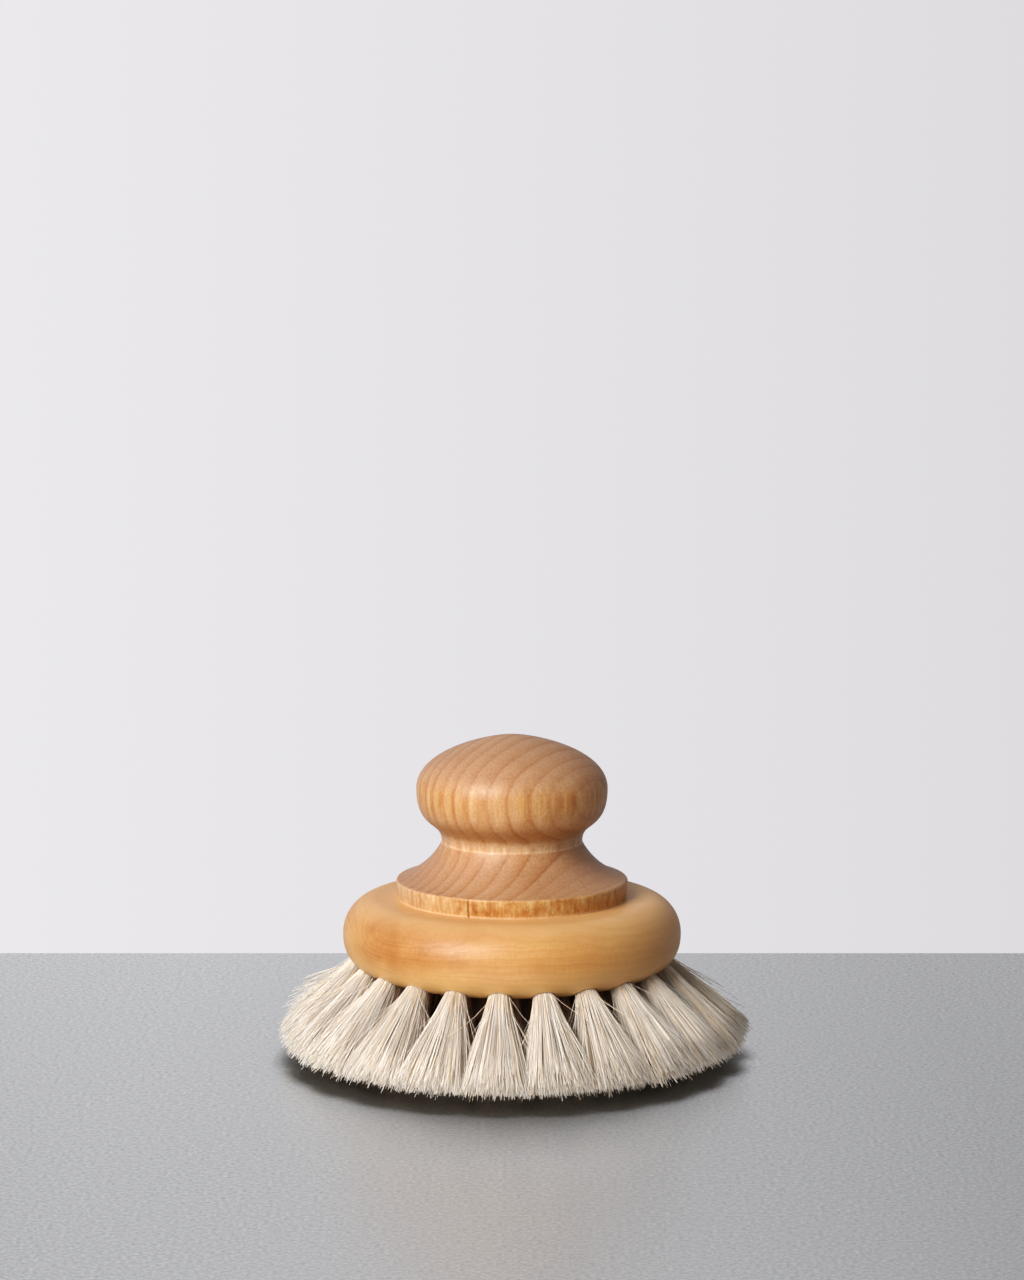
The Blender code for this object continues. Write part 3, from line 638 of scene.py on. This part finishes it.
# The tufts at the right reach out a little further, and at the left some hairs fly off.
wider = {0: 1.15, 1: 1.08, 21: 1.08}
flyaways_left = {10: 16, 11: 18, 12: 10}
for number in range(22):
    name = f"outer_row_hair_{number + 1:02d}"
    mesh = tuft_mesh(name, "outer_row", number, hairs=1380, steps=5, wisps=420,
                     middle=math.radians(39.6), half_fan=math.radians(14.8), half_turn=math.radians(8.8),
                     floor=0.0024, loose=0.03, reach=trim_out * wider.get(number, 1),
                     flyaways=flyaways_left.get(number, 0))
    new_piece(name, mesh, outer_finish, "horsehair", f"outer_row_tuft_{number + 1:02d}")


# The inner rows of hair
#
# Fifteen, ten and five tufts of the same hair in steeper bores, painted darker and browner
# towards the roots as the shade that lies between the outer tufts. They are trimmed level, and
# the brush stands on them.
inner_finish = hair_finish("shaded_horsehair", (0.98, 0.64, 0.40), 0.90)
inner_rows = {                   # tufts, and the middle slope, half opening and half turn in degrees
    "third_row": (15, 24.0, 9.5, 10.5),
    "second_row": (10, 15.5, 11.0, 14.5),
    "centre_row": (5, 5.0, 11.0, 26.0),
}
for row, (count, middle, half_fan, half_turn) in inner_rows.items():
    for number in range(count):
        name = f"{row}_hair_{number + 1:02d}"
        mesh = tuft_mesh(name, row, number, hairs=760, steps=4, wisps=150, middle=math.radians(middle),
                         half_fan=math.radians(half_fan), half_turn=math.radians(half_turn),
                         floor=0.0, loose=0.004)
        new_piece(name, mesh, inner_finish, "horsehair", f"{row}_tuft_{number + 1:02d}")


# The table and the light
#
# A grey stone table with a dull polish, which ends a little behind the brush, in a pale
# room. A wide soft window stands at the left of the camera, and a soft panel hangs above
# and behind the brush.
table_half, table_back, table_front, table_thick = 1.3, 0.124, -1.7, 0.045
bottom = [(-table_half, table_front, -table_thick), (table_half, table_front, -table_thick),
          (table_half, table_back, -table_thick), (-table_half, table_back, -table_thick)]
top = [(x, y, 0) for x, y, _ in bottom]
table_mesh = bpy.data.meshes.new("table")
table_mesh.from_pydata(bottom + top, [], [(3, 2, 1, 0), (4, 5, 6, 7), (0, 1, 5, 4), (1, 2, 6, 5),
                                          (2, 3, 7, 6), (3, 0, 4, 7)])
stone = Finish("pale_table", roughness=0.30, specular_ior_level=0.42)
speckle = stone.noise(stone.stretched((1, 1, 1)), 900, 3, 0.7)
grey = stone.ramp(speckle, (0.32, (0.105, 0.108, 0.112)), (0.68, (0.215, 0.219, 0.225)))
# The table is painted darker towards the right, as painted shade where its light falls off.
darker = stone.level(stone.along_way((1, 0, 0)), -0.10, 0.12)
stone.paint(stone.mix(darker, grey, (0.68, 0.68, 0.68), "MULTIPLY"))
table_mesh.materials.append(stone.material)
table = bpy.data.objects.new("table", table_mesh)
bpy.context.scene.collection.objects.link(table)

# The walls that the camera and the polished table see are paler than the light they give,
# which is a little warmer, comes from above and fades towards the floor.
room = bpy.data.worlds.new("soft_room")
room.use_nodes = True
tree = room.node_tree
wall = tree.nodes["Background"]
seen = tree.nodes.new("ShaderNodeLightPath")
direction = tree.nodes.new("ShaderNodeSeparateXYZ")
tree.links.new(tree.nodes.new("ShaderNodeTexCoord").outputs["Object"], direction.inputs[0])


def room_step(value, low, high, start, end):
    """Light that goes evenly from start to end while a value goes from low to high."""
    step = tree.nodes.new("ShaderNodeMapRange")
    for socket, number in (("From Min", low), ("From Max", high), ("To Min", start), ("To Max", end)):
        if isinstance(number, bpy.types.NodeSocket):
            tree.links.new(number, step.inputs[socket])
        else:
            step.inputs[socket].default_value = number
    tree.links.new(value, step.inputs["Value"])
    return step.outputs[0]


paleness = room_step(direction.outputs["X"], -0.30, 0.30, 0.865, 0.655)
ambient = room_step(direction.outputs["Z"], -0.05, 0.60, 0.02, 0.33)
polish = room_step(direction.outputs["X"], -0.30, 0.30, 0.70, 0.46)
mirrored = room_step(seen.outputs["Is Glossy Ray"], 0, 1, ambient, polish)
strength = room_step(seen.outputs["Is Camera Ray"], 0, 1, mirrored, paleness)
tint = tree.nodes.new("ShaderNodeMix")
tint.data_type = "RGBA"
tint.inputs[6].default_value = (0.985, 0.965, 1.0, 1)
tint.inputs[7].default_value = (1.0, 0.95, 0.89, 1)
tree.links.new(seen.outputs["Is Diffuse Ray"], tint.inputs[0])
tree.links.new(tint.outputs[2], wall.inputs["Color"])
tree.links.new(strength, wall.inputs["Strength"])
scene = bpy.context.scene
scene.world = room
scene.view_settings.view_transform = "Standard"


def softbox(name, place, target, width, height, power, colour, lit, shaded_by=None):
    """An area light at a place, turned towards a point. It lights the things in one
    collection, and those in another shade it, or all things where none is named."""
    data = bpy.data.lights.new(name, "AREA")
    data.shape = "RECTANGLE"
    data.size, data.size_y = width, height
    data.energy, data.color = power, colour
    lamp = bpy.data.objects.new(name, data)
    lamp.location = place
    lamp.rotation_euler = (Vector(target) - Vector(place)).to_track_quat("-Z", "Y").to_euler()
    lamp.light_linking.receiver_collection = lit
    lamp.light_linking.blocker_collection = shaded_by
    scene.collection.objects.link(lamp)


# The window lights the brush alone and the panel the table alone, so that the brush's soft
# shadow falls towards the camera while its front stays bright. The bounce is the light that
# the front of the table throws up under the wood; it comes from below, through the table.
all_but_table = bpy.data.collections.new("lit_by_window")
all_but_table.objects.link(table)
all_but_table.collection_objects[0].light_linking.link_state = "EXCLUDE"
table_alone = bpy.data.collections.new("lit_by_panel")
table_alone.objects.link(table)
softbox("window", (-0.69, -0.88, 0.74), (0, 0, 0.04), width=0.80, height=0.85, power=22.5,
        colour=(1.0, 0.99, 0.97), lit=all_but_table)
softbox("panel", (0.0, 0.62, 1.00), (0, -0.05, 0), width=0.60, height=0.50, power=38.5,
        colour=(0.99, 0.99, 1.0), lit=table_alone)
softbox("bounce", (-0.15, -0.50, -0.22), (0, 0, 0.045), width=0.60, height=0.25, power=1.15,
        colour=(1.0, 0.96, 0.89), lit=all_but_table, shaded_by=all_but_table)

# A gentle contrast curve, as a camera gives: shadows a little deeper, highlights a little lifted.
contrast = scene.view_settings
contrast.use_curve_mapping = True
curve = contrast.curve_mapping.curves[3]
tones = ((0.03, 0.013), (0.06, 0.034), (0.13, 0.097), (0.25, 0.235), (0.50, 0.520), (0.80, 0.830))
for level, shown in tones:
    curve.points.new(level, shown)
contrast.curve_mapping.update()

camera_data = bpy.data.cameras.new("camera")
camera_data.lens = 96.68
camera_data.clip_start, camera_data.clip_end = 0.05, 20
camera = bpy.data.objects.new("camera", camera_data)
camera.location = (0, -0.900, 0.22644)
camera.rotation_euler = (math.radians(90 - 7.264), 0, 0)
scene.collection.objects.link(camera)
scene.camera = camera
